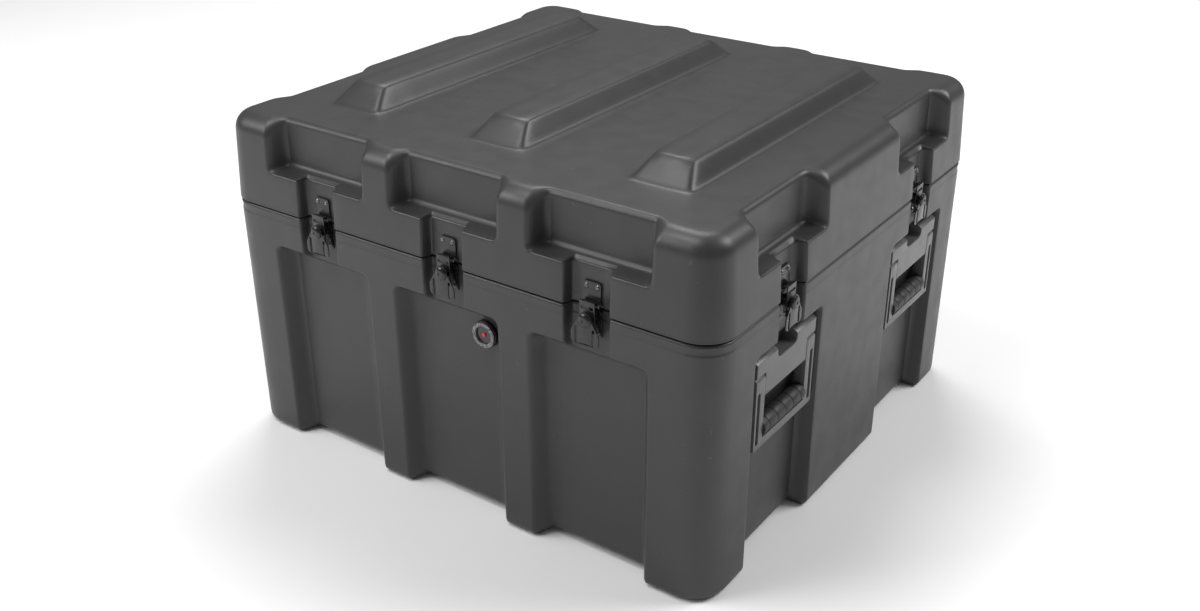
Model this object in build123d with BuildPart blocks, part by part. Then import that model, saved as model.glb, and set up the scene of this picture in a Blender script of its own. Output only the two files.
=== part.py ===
from build123d import *
import math
import os

# Hard equipment case, rotationally moulded in polyethylene, with a lift-off lid.
# Frame: origin at the centre of the footprint, on the floor. +Z up, front wall facing -Y.
# All sizes in millimetres.

os.makedirs("parts", exist_ok=True)

# ---- Driving dimensions of the mouldings ----
WIDTH = 850.0
DEPTH = 800.0
BASE_HEIGHT = 388.0
LID_HEIGHT = 133.0
CORNER_RADIUS = 48.0
WALL = 6.0
FOOT_HEIGHT = 8.0
FOOT_LENGTH = 85.0

# ---- Bays between the posts of each wall ----
BAY_WIDTH = 186.0
BAY_DEPTH = 25.0
BAY_RADIUS_PER_RUN = 0.6
FRONT_BAY_PITCH = 236.0
SIDE_BAY_OFFSET = 207.0
FRONT_BAY_RUN = 16.0
SIDE_BAY_RUN = 8.0
BAND_HEIGHT = 56.0
GROOVE_WIDTH = 68.0
GROOVE_DEPTH = 16.0

# ---- Lid ----
LID_DRAFT = 3.0
LID_EDGE_RADIUS = 28.0
POCKET_DEPTH = 34.0
POCKET_RUN = 11.0
RIB_PITCH = 264.0
RIB_LENGTH = 564.0
RIB_WIDTH = 96.0
RIB_TOP_WIDTH = 62.0
RIB_END_RUN = 36.0
RIB_HEIGHT = 30.0
RIB_EDGE_RADIUS = 5.0

# ---- Rim and seal ----
RIM_THICKNESS = 8.0
RIM_INSET = 42.0
TONGUE_INSET = 31.0
TONGUE_WIDTH = 4.0
TONGUE_HEIGHT = 3.0
SEAL_WIDTH = 7.0
SEAL_DEPTH = 5.0
FIT_GAP = 0.3

# ---- Twist latches ----
SPINDLE_DROP = 13.0
SHEET = 1.5
SPINDLE_RADIUS = 4.0
RUNNING_GAP = 0.08
LINK_LIFT = 9.0
LINK_FACE = 11.0
LINK_WIDTH = 23.0
WING_FACE = GROOVE_DEPTH + 0.6
WING_WIDTH = 43.0
WING_REACH = 37.0
WING_NECK = 10.5
WING_CROWN = 11.0
WING_SHOULDER_DROP = 18.0
WING_ARCH = 4.0
WING_LOBE_RADIUS = 6.0
WING_SLOT_LENGTH = 24.0
WING_SLOT_WIDTH = 4.0
WING_SLOT_OFFSET = 13.2
WING_SLOT_DROP = 21.8
HEAD_RADIUS = 9.5
HEAD_HEIGHT = 3.5
HEAD_RIM = 1.2
HEAD_DIMPLE = 1.0
COLLAR_WIDTH = 2.5
COLLAR_GAP = 0.5
CAM_RADIUS = 5.0
CAM_ROOM = 1.4
SHAFT_ROOM = 1.1
PLATE_WIDTH = 30.0
PLATE_MARGIN = 7.0
PLATE_CORNER = 4.0
KEEPER_WIDTH = 27.0
KEEPER_BOTTOM = 17.0
KEEPER_TOP = 47.5
KEEPER_FLARE = 3.5
KEEPER_FLARE_RISE = 6.0
KEEPER_LIP_FACE = 8.0
KEEPER_LIP_TOP = 21.0
LINK_BOTTOM = -18.0
LINK_TOP = 24.3
LINK_WINDOW_WIDTH = 19.0
LINK_WINDOW_HEIGHT = 4.0
LINK_WINDOW_CENTRE = 15.5
HOOK_TIP_FACE = 3.8
HOOK_TIP_BOTTOM = 19.2
HOOK_BEND_HEIGHT = 22.0
RIVET_RADIUS = 2.0
RIVET_HEAD_RADIUS = 3.6
RIVET_HEAD_HEIGHT = 1.8
RIVET_SPACING = 16.8
KEEPER_RIVET_HEIGHT = 41.0
PLATE_RIVET_HEIGHT = -22.0

# ---- Lift handles ----
HANDLE_DROP = 62.0
HANDLE_WIDTH = 162.0
HANDLE_FACE = 22.0
EAR_HEIGHT = 29.0
BRACKET_HEIGHT = 63.0
BRACKET_BODY_WIDTH = 114.0
BRACKET_SKIN = 3.0
BRACKET_BEVEL_FACE = 8.0
BRACKET_BEVEL_DROP = 9.0
BRACKET_EDGE_RADIUS = 1.2
BODY_POCKET_HEIGHT = 26.0
EAR_POCKET = (44.0, 16.0)
EAR_POCKET_OFFSET = 54.0
EAR_POCKET_DROP = 17.0
BOSS_RADIUS = 5.0
SCREW_RADIUS = 2.0
SCREW_REACH = 12.0
SCREW_HEAD_RADIUS = 4.2
SCREW_HEAD_HEIGHT = 2.5
BACK_PLATE_SIZE = (150.0, 48.0)
BACK_PLATE_SHEET = 2.0
BACK_PLATE_DROP = 30.0
BACK_PLATE_CORNER = 5.0
NOTCH_WIDTH = 54.0
NOTCH_HEIGHT = 22.0
NOTCH_RADIUS = 9.0
HANDLE_HEIGHT = 139.0
BAIL_LEG_WIDTH = 23.0
BAIL_THICKNESS = 16.0
BAIL_AXIS_DROP = 38.0
BAIL_AXIS_FACE = HANDLE_FACE - BAIL_THICKNESS / 2
GRIP_RADIUS = 12.5
GRIP_CORE_RADIUS = 7.0
PIN_RADIUS = 3.0
PIN_LENGTH = 37.0
PIN_END_INSET = 3.5
PIN_HOLE_INSET = 3.0
BAIL_SLOT_LENGTH = 79.0
BAIL_SLOT_WIDTH = 7.5
BAIL_SLOT_OFFSET = 73.0
BAIL_SLOT_DROP = 92.5
BAIL_OPENING_TOP = 4.0
BAIL_OPENING_BOTTOM = -127.2
BAIL_OPENING_RADIUS = 1.5
GRIP_DROP = 114.5
GRIP_FACE = 13.5
GRIP_LENGTH = HANDLE_WIDTH - 2 * BAIL_LEG_WIDTH
GRIP_END_GAP = 1.0
GRIP_ANCHOR = 1.0
GRIP_GROOVE_PITCH = 22.0
GRIP_GROOVE_WIDTH = 1.2
GRIP_GROOVE_DEPTH = 0.8
SPRING_TURNS = 4
SPRING_PITCH = 1.9
SPRING_RADIUS = 3.8
SPRING_WIRE_RADIUS = 0.5
SPRING_STARTS = (-BRACKET_BODY_WIDTH / 2 + 4.8, BRACKET_BODY_WIDTH / 2 - 12.4)

# ---- Pressure relief valve ----
VALVE_OFFSET = 53.0
VALVE_DROP = 98.5
VALVE_RADIUS = 20.0
VALVE_FLANGE = 6.0
VALVE_STEM_RADIUS = 11.0
VALVE_STEM_LENGTH = 14.0
BEZEL_RADIUS = 19.0
BEZEL_HEIGHT = 3.0
DISC_RADIUS = 14.0
DISC_THICKNESS = 2.0
DOT_RADIUS = 3.2
DOT_TRAVEL = 1.5
DOT_CROWN = 2.4
DOT_SHOULDER = 1.2
DOT_FLANGE_RADIUS = 5.0
DOT_FLANGE_THICKNESS = 2.0
VALVE_SEAL_RADIUS = 17.0
VALVE_SEAL_SHEET = 1.0
VALVE_EDGE_RADIUS = 1.0
VALVE_BORE_RADIUS = 7.0
VALVE_BORE_DEPTH = 7.0
VALVE_VENT_RADIUS = 3.0
BEZEL_LAP = 0.8
BEZEL_EDGE_RADIUS = 0.9
VALVE_SPRING_RADIUS = 4.2
VALVE_SPRING_PITCH = 1.5
VALVE_SPRING_HEIGHT = 5.8
VALVE_SPRING_START = -6.4
VALVE_NUT_RADIUS = 17.0
VALVE_NUT_HEIGHT = 6.0

SPINDLE_HEIGHT = BASE_HEIGHT - SPINDLE_DROP
TOTAL_HEIGHT = BASE_HEIGHT + LID_HEIGHT + RIB_HEIGHT


def save(part, name):
    """Label one finished node and write its STEP file."""
    part.label = name
    export_step(part, f"parts/{name}.step")


def wall_plane(side, along, height, inset):
    """Plane on one wall, x along the wall, y up, z outwards, inset from the outer face."""
    if side == "front":
        return Plane(origin=(along, -DEPTH / 2 + inset, height), x_dir=(1, 0, 0), z_dir=(0, -1, 0))
    if side == "back":
        return Plane(origin=(-along, DEPTH / 2 - inset, height), x_dir=(-1, 0, 0), z_dir=(0, 1, 0))
    if side == "right":
        return Plane(origin=(WIDTH / 2 - inset, along, height), x_dir=(0, 1, 0), z_dir=(1, 0, 0))
    return Plane(origin=(-WIDTH / 2 + inset, -along, height), x_dir=(0, -1, 0), z_dir=(-1, 0, 0))


# Every bay: the wall it is in, its centre along that wall, its number and the run of its side walls.
BAYS = []
for side in ("front", "back"):
    for number, along in enumerate((-FRONT_BAY_PITCH, 0.0, FRONT_BAY_PITCH), start=1):
        BAYS.append((side, along, number, FRONT_BAY_RUN))
for side in ("left", "right"):
    for number, along in enumerate((-SIDE_BAY_OFFSET, SIDE_BAY_OFFSET), start=1):
        BAYS.append((side, along, number, SIDE_BAY_RUN))


def rounded_block(inset, bottom, top):
    """Upright block with the outline of the moulding, brought in by inset."""
    with BuildPart() as block:
        with BuildSketch(Plane.XY.offset(bottom)):
            RectangleRounded(WIDTH - 2 * inset, DEPTH - 2 * inset, CORNER_RADIUS - inset)
        extrude(amount=top - bottom)
    return block.part


def bay_cutter(depth, run, grow, bottom, top):
    """Upright cutter of a bay, narrower inside than at its mouth, grown on every side."""
    slant = run / depth
    spread = grow * math.hypot(1, slant)
    outside = 2.0
    mouth = BAY_WIDTH / 2 + slant * outside + spread
    inner = BAY_WIDTH / 2 - slant * (depth + grow) + spread
    with BuildPart() as cutter:
        with BuildSketch(Plane.XY.offset(bottom)):
            with BuildLine():
                Polyline(
                    (-mouth, -outside),
                    (mouth, -outside),
                    (inner, depth + grow),
                    (-inner, depth + grow),
                    close=True,
                )
            make_face()
        extrude(amount=top - bottom)
        inner_edges = cutter.edges().filter_by(Axis.Z).group_by(Axis.Y)[-1]
        fillet(inner_edges, BAY_RADIUS_PER_RUN * run)
    return cutter.part


def upright_frame(side, along):
    """Location at floor height on a wall, with x along the wall and y pointing into the moulding."""
    plane = wall_plane(side, along, 0, 0)
    inward = plane.z_dir * -1
    return Location(Plane(origin=plane.origin, x_dir=plane.x_dir, z_dir=plane.x_dir.cross(inward)))


def base_form(grow):
    """The base as one solid: outline less bays, grooves and the hollow between its feet."""
    top = BASE_HEIGHT + (WALL if grow else 0)
    with BuildPart() as form:
        add(rounded_block(grow, grow, top))
        for side, along, number, run in BAYS:
            with Locations(upright_frame(side, along)):
                add(
                    bay_cutter(BAY_DEPTH, run, grow, -WALL, BASE_HEIGHT - BAND_HEIGHT + grow),
                    mode=Mode.SUBTRACT,
                )
                with Locations((0, 0, BASE_HEIGHT)):
                    Box(
                        GROOVE_WIDTH + 2 * grow,
                        2 * (GROOVE_DEPTH + grow),
                        2 * BAND_HEIGHT + 2 * grow,
                        mode=Mode.SUBTRACT,
                    )
                with Locations((0, 0, 0)):
                    Box(
                        BAY_WIDTH - 2 * run + 2 * grow,
                        2 * FOOT_LENGTH,
                        2 * (FOOT_HEIGHT + grow),
                        mode=Mode.SUBTRACT,
                    )
        with BuildSketch(Plane.XY):
            Rectangle(WIDTH - 2 * (FOOT_LENGTH - grow), DEPTH - 2 * (FOOT_LENGTH - grow))
        extrude(amount=FOOT_HEIGHT + grow, mode=Mode.SUBTRACT)
    return form.part


def rim_ring(inner_inset, bottom, top):
    """Flat ring round the opening, from the outer outline to an inner inset."""
    with BuildPart() as ring:
        with BuildSketch(Plane.XY.offset(bottom)):
            RectangleRounded(WIDTH - 2 * WALL, DEPTH - 2 * WALL, CORNER_RADIUS - WALL)
            RectangleRounded(
                WIDTH - 2 * inner_inset,
                DEPTH - 2 * inner_inset,
                CORNER_RADIUS - TONGUE_INSET,
                mode=Mode.SUBTRACT,
            )
        extrude(amount=top - bottom)
        for side, along, number, run in BAYS:
            with Locations(upright_frame(side, along)):
                with Locations((0, 0, (bottom + top) / 2)):
                    Box(
                        GROOVE_WIDTH + WALL,
                        2 * (GROOVE_DEPTH + WALL / 2),
                        top - bottom + WALL,
                        mode=Mode.SUBTRACT,
                    )
    return ring.part


def seal_track(width, bottom, top):
    """Closed track that runs round the rim, behind the latch grooves."""
    with BuildPart() as track:
        with BuildSketch(Plane.XY.offset(bottom)):
            outer = TONGUE_INSET - width / 2
            inner = TONGUE_INSET + width / 2
            RectangleRounded(WIDTH - 2 * outer, DEPTH - 2 * outer, CORNER_RADIUS - outer)
            RectangleRounded(
                WIDTH - 2 * inner, DEPTH - 2 * inner, CORNER_RADIUS - inner, mode=Mode.SUBTRACT
            )
        extrude(amount=top - bottom)
    return track.part


# ---- Latch pieces, drawn about the spindle axis: x along the wall, y up, z outwards ----
with BuildPart() as rivet:
    with BuildSketch(Plane.XZ):
        with BuildLine():
            Polyline(
                (0, -WALL - SHEET),
                (RIVET_HEAD_RADIUS, -WALL - SHEET),
                (RIVET_HEAD_RADIUS, -WALL),
                (RIVET_RADIUS, -WALL),
                (RIVET_RADIUS, SHEET),
                (RIVET_HEAD_RADIUS, SHEET),
            )
            ThreePointArc(
                (RIVET_HEAD_RADIUS, SHEET),
                (RIVET_HEAD_RADIUS * 0.72, SHEET + RIVET_HEAD_HEIGHT * 0.7),
                (RIVET_HEAD_RADIUS * 0.25, SHEET + RIVET_HEAD_HEIGHT),
            )
            Polyline(
                (RIVET_HEAD_RADIUS * 0.25, SHEET + RIVET_HEAD_HEIGHT),
                (0, SHEET + RIVET_HEAD_HEIGHT),
                (0, -WALL - SHEET),
            )
        make_face()
    revolve(axis=Axis.Z)

RIVET_SPOTS = (
    (-RIVET_SPACING / 2, PLATE_RIVET_HEIGHT),
    (RIVET_SPACING / 2, PLATE_RIVET_HEIGHT),
)
KEEPER_RIVET_SPOTS = (
    (-RIVET_SPACING / 2, KEEPER_RIVET_HEIGHT),
    (RIVET_SPACING / 2, KEEPER_RIVET_HEIGHT),
)

PLATE_TOP = SPINDLE_DROP - 2 * FIT_GAP - SHEET
PLATE_BOTTOM = PLATE_RIVET_HEIGHT - PLATE_MARGIN

with BuildPart() as latch_plate:
    with BuildSketch():
        with Locations((0, (PLATE_TOP + PLATE_BOTTOM) / 2)):
            RectangleRounded(PLATE_WIDTH, PLATE_TOP - PLATE_BOTTOM, PLATE_CORNER)
        with Locations(*RIVET_SPOTS):
            Circle(RIVET_RADIUS, mode=Mode.SUBTRACT)
    extrude(amount=SHEET)
    with BuildSketch(Plane.XY.offset(SHEET)):
        Circle(2 * SPINDLE_RADIUS)
    extrude(amount=LINK_FACE - 2 * FIT_GAP - SHEET)
    with BuildSketch():
        Circle(SPINDLE_RADIUS + RUNNING_GAP)
    extrude(amount=LINK_FACE, mode=Mode.SUBTRACT)

with BuildPart() as keeper:
    with BuildSketch():
        with BuildLine():
            Polyline(
                (-KEEPER_WIDTH / 2, KEEPER_TOP),
                (-KEEPER_WIDTH / 2, KEEPER_BOTTOM + KEEPER_FLARE_RISE),
                (-KEEPER_WIDTH / 2 - KEEPER_FLARE, KEEPER_BOTTOM),
                (KEEPER_WIDTH / 2 + KEEPER_FLARE, KEEPER_BOTTOM),
                (KEEPER_WIDTH / 2, KEEPER_BOTTOM + KEEPER_FLARE_RISE),
                (KEEPER_WIDTH / 2, KEEPER_TOP),
                close=True,
            )
        make_face()
        with Locations(*KEEPER_RIVET_SPOTS):
            Circle(RIVET_RADIUS, mode=Mode.SUBTRACT)
    extrude(amount=SHEET)
    upper_corners = keeper.edges().filter_by(Axis.Z).group_by(Axis.Y)[-1]
    fillet(upper_corners, PLATE_CORNER)
    with BuildSketch(Plane.YZ):
        with BuildLine():
            Polyline(
                (KEEPER_BOTTOM, 0),
                (KEEPER_BOTTOM, KEEPER_LIP_FACE),
                (KEEPER_LIP_TOP, KEEPER_LIP_FACE),
                (KEEPER_LIP_TOP, KEEPER_LIP_FACE - SHEET),
                (KEEPER_BOTTOM + SHEET, KEEPER_LIP_FACE - SHEET),
                (KEEPER_BOTTOM + SHEET, 0),
                close=True,
            )
        make_face()
    extrude(amount=KEEPER_WIDTH / 2 + KEEPER_FLARE / 2, both=True)

LINK_OUTER_FACE = LINK_FACE + SHEET
with BuildPart() as link:
    with BuildSketch(Plane.XY.offset(LINK_FACE)):
        with Locations((0, (LINK_TOP + LINK_BOTTOM) / 2)):
            Rectangle(LINK_WIDTH, LINK_TOP - LINK_BOTTOM)
        with Locations((0, -LINK_LIFT / 2)):
            Rectangle(
                2 * (CAM_RADIUS + LINK_LIFT / 2 + FIT_GAP),
                2 * (CAM_RADIUS + CAM_ROOM),
                mode=Mode.SUBTRACT,
            )
            Rectangle(
                2 * (SPINDLE_RADIUS + 2 * FIT_GAP),
                2 * (SPINDLE_RADIUS + LINK_LIFT / 2 + SHAFT_ROOM),
                mode=Mode.SUBTRACT,
            )
        with Locations((0, LINK_WINDOW_CENTRE)):
            SlotOverall(LINK_WINDOW_WIDTH, LINK_WINDOW_HEIGHT, mode=Mode.SUBTRACT)
    extrude(amount=SHEET)
    with BuildSketch(Plane.YZ):
        with BuildLine():
            Polyline(
                (LINK_TOP, LINK_OUTER_FACE),
                (LINK_TOP, LINK_FACE),
                (HOOK_BEND_HEIGHT, HOOK_TIP_FACE),
                (HOOK_TIP_BOTTOM, HOOK_TIP_FACE),
                (HOOK_TIP_BOTTOM, HOOK_TIP_FACE + SHEET),
                (HOOK_BEND_HEIGHT - SHEET, HOOK_TIP_FACE + SHEET),
                (LINK_TOP - SHEET, LINK_FACE),
                (LINK_TOP - SHEET, LINK_OUTER_FACE),
                close=True,
            )
        make_face()
    extrude(amount=LINK_WIDTH / 2, both=True)

HEAD_BASE = WING_FACE + SHEET
with BuildPart() as spindle:
    with BuildSketch(Plane.XZ):
        with BuildLine():
            Polyline(
                (0, FIT_GAP),
                (SPINDLE_RADIUS, FIT_GAP),
                (SPINDLE_RADIUS, LINK_OUTER_FACE + COLLAR_GAP),
                (SPINDLE_RADIUS + COLLAR_WIDTH, LINK_OUTER_FACE + COLLAR_GAP),
                (SPINDLE_RADIUS + COLLAR_WIDTH, WING_FACE),
                (SPINDLE_RADIUS, WING_FACE),
                (SPINDLE_RADIUS, HEAD_BASE),
                (HEAD_RADIUS, HEAD_BASE),
                (HEAD_RADIUS, HEAD_BASE + HEAD_RIM),
            )
            ThreePointArc(
                (HEAD_RADIUS, HEAD_BASE + HEAD_RIM),
                (HEAD_RADIUS * 0.66, HEAD_BASE + HEAD_HEIGHT - HEAD_RIM / 3),
                (HEAD_RADIUS * 0.3, HEAD_BASE + HEAD_HEIGHT),
            )
            Polyline(
                (HEAD_RADIUS * 0.3, HEAD_BASE + HEAD_HEIGHT),
                (HEAD_RADIUS * 0.2, HEAD_BASE + HEAD_HEIGHT - HEAD_DIMPLE),
                (0, HEAD_BASE + HEAD_HEIGHT - HEAD_DIMPLE),
                (0, FIT_GAP),
            )
        make_face()
    revolve(axis=Axis.Z)
    with BuildSketch(Plane.XY.offset(LINK_FACE - FIT_GAP)):
        with Locations((0, -LINK_LIFT / 2)):
            Circle(CAM_RADIUS)
    extrude(amount=SHEET + 2 * FIT_GAP)

EDGE = WING_WIDTH / 2
WING_SLOT_SPOTS = ((-WING_SLOT_OFFSET, -WING_SLOT_DROP), (WING_SLOT_OFFSET, -WING_SLOT_DROP))
with BuildPart() as wing:
    with BuildSketch(Plane.XY.offset(WING_FACE)):
        with BuildLine():
            ThreePointArc((-WING_NECK, 0), (0, WING_CROWN), (WING_NECK, 0))
            Polyline((WING_NECK, 0), (EDGE, -WING_SHOULDER_DROP), (EDGE, -WING_REACH))
            ThreePointArc((EDGE, -WING_REACH), (0, -WING_REACH + WING_ARCH), (-EDGE, -WING_REACH))
            Polyline((-EDGE, -WING_REACH), (-EDGE, -WING_SHOULDER_DROP), (-WING_NECK, 0))
        make_face()
        Circle(SPINDLE_RADIUS, mode=Mode.SUBTRACT)
        with Locations(*WING_SLOT_SPOTS):
            SlotOverall(WING_SLOT_LENGTH, WING_SLOT_WIDTH, rotation=90, mode=Mode.SUBTRACT)
    extrude(amount=SHEET)
    tip_edges = wing.edges().filter_by(Axis.Z).group_by(Axis.Y)[0]
    fillet(tip_edges, WING_LOBE_RADIUS)

# ---- Handle pieces, drawn from the panel's face: x along the wall, y up from the top edge, z outwards ----
BRACKET_SCREWS = ((-66, -15), (66, -15), (-30, -45), (30, -45))
BODY_CENTRE = -(EAR_HEIGHT + BRACKET_HEIGHT) / 2

with BuildPart() as handle_bracket:
    with BuildSketch(Plane.YZ):
        with BuildLine():
            Polyline(
                (0, 0),
                (0, BRACKET_BEVEL_FACE),
                (-BRACKET_BEVEL_DROP, HANDLE_FACE),
                (-BRACKET_HEIGHT, HANDLE_FACE),
                (-BRACKET_HEIGHT, 0),
                close=True,
            )
        make_face()
    extrude(amount=HANDLE_WIDTH / 2, both=True)
    with BuildSketch():
        with Locations((-HANDLE_WIDTH / 2, BODY_CENTRE), (HANDLE_WIDTH / 2, BODY_CENTRE)):
            Rectangle(HANDLE_WIDTH - BRACKET_BODY_WIDTH, BRACKET_HEIGHT - EAR_HEIGHT)
        with Locations((0, 0)):
            RectangleRounded(NOTCH_WIDTH, 2 * NOTCH_HEIGHT, NOTCH_RADIUS)
    extrude(amount=HANDLE_FACE, mode=Mode.SUBTRACT)
    fillet(handle_bracket.faces().sort_by(Axis.Z)[-1].edges(), BRACKET_EDGE_RADIUS)
    with BuildSketch():
        with Locations((0, BODY_CENTRE + BACK_PLATE_SHEET)):
            Rectangle(BRACKET_BODY_WIDTH - 2 * BRACKET_SKIN, BODY_POCKET_HEIGHT)
        with Locations((-EAR_POCKET_OFFSET, -EAR_POCKET_DROP), (EAR_POCKET_OFFSET, -EAR_POCKET_DROP)):
            Rectangle(*EAR_POCKET)
    extrude(amount=HANDLE_FACE - BRACKET_SKIN, mode=Mode.SUBTRACT)
    with BuildSketch():
        with Locations(*BRACKET_SCREWS):
            Circle(BOSS_RADIUS)
            Circle(SCREW_RADIUS, mode=Mode.SUBTRACT)
    extrude(amount=HANDLE_FACE - BRACKET_SKIN)
    with BuildSketch(Plane.YZ.offset(-BRACKET_BODY_WIDTH / 2)):
        with Locations((-BAIL_AXIS_DROP, BAIL_AXIS_FACE)):
            Circle(PIN_RADIUS)
    extrude(amount=BRACKET_BODY_WIDTH, mode=Mode.SUBTRACT)

with BuildPart() as handle_bail:
    with BuildSketch(Plane.YZ):
        with Locations((-BAIL_AXIS_DROP, BAIL_AXIS_FACE)):
            Circle(BAIL_THICKNESS / 2)
        with Locations((-(BAIL_AXIS_DROP + HANDLE_HEIGHT) / 2, BAIL_AXIS_FACE)):
            Rectangle(HANDLE_HEIGHT - BAIL_AXIS_DROP, BAIL_THICKNESS)
    extrude(amount=HANDLE_WIDTH / 2, both=True)
    with BuildSketch():
        with Locations((0, (BAIL_OPENING_TOP + BAIL_OPENING_BOTTOM) / 2)):
            RectangleRounded(
                GRIP_LENGTH, BAIL_OPENING_TOP - BAIL_OPENING_BOTTOM, BAIL_OPENING_RADIUS
            )
    extrude(amount=HANDLE_FACE, mode=Mode.SUBTRACT)
    with BuildSketch():
        with Locations((-BAIL_SLOT_OFFSET, -BAIL_SLOT_DROP), (BAIL_SLOT_OFFSET, -BAIL_SLOT_DROP)):
            SlotOverall(BAIL_SLOT_LENGTH, BAIL_SLOT_WIDTH, rotation=90)
    extrude(amount=HANDLE_FACE, mode=Mode.SUBTRACT)
    with BuildSketch(Plane.YZ):
        with Locations((-GRIP_DROP, GRIP_FACE)):
            Circle(GRIP_CORE_RADIUS)
    extrude(amount=GRIP_LENGTH / 2 + GRIP_ANCHOR, both=True)
    with BuildSketch(Plane.YZ):
        with Locations((-BAIL_AXIS_DROP, BAIL_AXIS_FACE)):
            Circle(PIN_RADIUS + RUNNING_GAP)
    extrude(amount=HANDLE_WIDTH / 2 - PIN_HOLE_INSET, both=True, mode=Mode.SUBTRACT)

with BuildPart() as handle_grip:
    with BuildSketch(Plane.YZ):
        with Locations((-GRIP_DROP, GRIP_FACE)):
            Circle(GRIP_RADIUS)
            Circle(GRIP_CORE_RADIUS, mode=Mode.SUBTRACT)
    extrude(amount=GRIP_LENGTH / 2 - GRIP_END_GAP, both=True)
    for step in range(-2, 3):
        with BuildSketch(Plane.YZ.offset(step * GRIP_GROOVE_PITCH - GRIP_GROOVE_WIDTH / 2)):
            with Locations((-GRIP_DROP, GRIP_FACE)):
                Circle(GRIP_RADIUS + GRIP_GROOVE_DEPTH)
                Circle(GRIP_RADIUS - GRIP_GROOVE_DEPTH, mode=Mode.SUBTRACT)
        extrude(amount=GRIP_GROOVE_WIDTH, mode=Mode.SUBTRACT)

with BuildPart() as handle_pins:
    for way in (-1, 1):
        with BuildSketch(Plane.YZ.offset(way * (HANDLE_WIDTH / 2 - PIN_END_INSET))):
            with Locations((-BAIL_AXIS_DROP, BAIL_AXIS_FACE)):
                Circle(PIN_RADIUS)
        extrude(amount=-way * PIN_LENGTH)

with BuildPart() as handle_springs:
    for start in SPRING_STARTS:
        with BuildLine() as coil:
            Helix(
                pitch=SPRING_PITCH,
                height=SPRING_TURNS * SPRING_PITCH,
                radius=SPRING_RADIUS,
                center=(start, -BAIL_AXIS_DROP, BAIL_AXIS_FACE),
                direction=(1, 0, 0),
            )
        with BuildSketch(Plane(origin=coil.line @ 0, z_dir=coil.line % 0)):
            Circle(SPRING_WIRE_RADIUS)
        sweep(path=coil.line)

BACK_PLATE_FACE = -WALL - BACK_PLATE_SHEET
with BuildPart() as handle_back_plate:
    with BuildSketch(Plane.XY.offset(BACK_PLATE_FACE)):
        with Locations((0, -BACK_PLATE_DROP)):
            RectangleRounded(*BACK_PLATE_SIZE, BACK_PLATE_CORNER)
        with Locations(*BRACKET_SCREWS):
            Circle(SCREW_RADIUS, mode=Mode.SUBTRACT)
    extrude(amount=BACK_PLATE_SHEET)

with BuildPart() as handle_screws:
    with Locations(*[(x, y, 0) for x, y in BRACKET_SCREWS]):
        with Locations((0, 0, BACK_PLATE_FACE - SCREW_HEAD_HEIGHT / 2)):
            Cylinder(SCREW_HEAD_RADIUS, SCREW_HEAD_HEIGHT)
        with Locations((0, 0, (BACK_PLATE_FACE + SCREW_REACH) / 2)):
            Cylinder(SCREW_RADIUS, SCREW_REACH - BACK_PLATE_FACE)

# ---- Valve pieces, drawn from the panel's face, z outwards ----
DISC_FLOOR = VALVE_FLANGE - DISC_THICKNESS
with BuildPart() as valve_seal:
    with BuildSketch():
        Circle(VALVE_SEAL_RADIUS)
        Circle(VALVE_STEM_RADIUS, mode=Mode.SUBTRACT)
    extrude(amount=VALVE_SEAL_SHEET)

with BuildPart() as valve_body:
    with BuildSketch(Plane.XY.offset(VALVE_SEAL_SHEET)):
        Circle(VALVE_RADIUS)
    extrude(amount=VALVE_FLANGE - VALVE_SEAL_SHEET)
    fillet(valve_body.edges().group_by(Axis.Z)[-1], VALVE_EDGE_RADIUS)
    with BuildSketch(Plane.XY.offset(-VALVE_STEM_LENGTH)):
        Circle(VALVE_STEM_RADIUS)
    extrude(amount=VALVE_STEM_LENGTH + VALVE_SEAL_SHEET)
    with BuildSketch(Plane.XY.offset(DISC_FLOOR)):
        Circle(DISC_RADIUS)
    extrude(amount=DISC_THICKNESS, mode=Mode.SUBTRACT)
    with BuildSketch(Plane.XY.offset(-VALVE_BORE_DEPTH)):
        Circle(VALVE_BORE_RADIUS)
    extrude(amount=VALVE_BORE_DEPTH + VALVE_FLANGE, mode=Mode.SUBTRACT)
    with BuildSketch(Plane.XY.offset(-VALVE_STEM_LENGTH)):
        Circle(VALVE_VENT_RADIUS)
    extrude(amount=VALVE_STEM_LENGTH, mode=Mode.SUBTRACT)

with BuildPart() as valve_bezel:
    with BuildSketch(Plane.XY.offset(VALVE_FLANGE)):
        Circle(BEZEL_RADIUS)
        Circle(DISC_RADIUS - BEZEL_LAP, mode=Mode.SUBTRACT)
    extrude(amount=BEZEL_HEIGHT)
    fillet(valve_bezel.edges().group_by(Axis.Z)[-1], BEZEL_EDGE_RADIUS)

with BuildPart() as valve_disc:
    with BuildSketch(Plane.XY.offset(DISC_FLOOR)):
        Circle(DISC_RADIUS)
        Circle(DOT_RADIUS + FIT_GAP, mode=Mode.SUBTRACT)
    extrude(amount=DISC_THICKNESS)

with BuildPart() as valve_dot:
    with BuildSketch(Plane.XZ):
        with BuildLine():
            Polyline(
                (0, DOT_TRAVEL),
                (DOT_FLANGE_RADIUS, DOT_TRAVEL),
                (DOT_FLANGE_RADIUS, DOT_TRAVEL + DOT_FLANGE_THICKNESS),
                (DOT_RADIUS, DOT_TRAVEL + DOT_FLANGE_THICKNESS),
                (DOT_RADIUS, VALVE_FLANGE + DOT_SHOULDER),
            )
            ThreePointArc(
                (DOT_RADIUS, VALVE_FLANGE + DOT_SHOULDER),
                (DOT_RADIUS * 0.72, VALVE_FLANGE + (2 * DOT_CROWN + DOT_SHOULDER) / 3),
                (DOT_RADIUS * 0.25, VALVE_FLANGE + DOT_CROWN),
            )
            Polyline(
                (DOT_RADIUS * 0.25, VALVE_FLANGE + DOT_CROWN),
                (0, VALVE_FLANGE + DOT_CROWN),
                (0, DOT_TRAVEL),
            )
        make_face()
    revolve(axis=Axis.Z)

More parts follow.
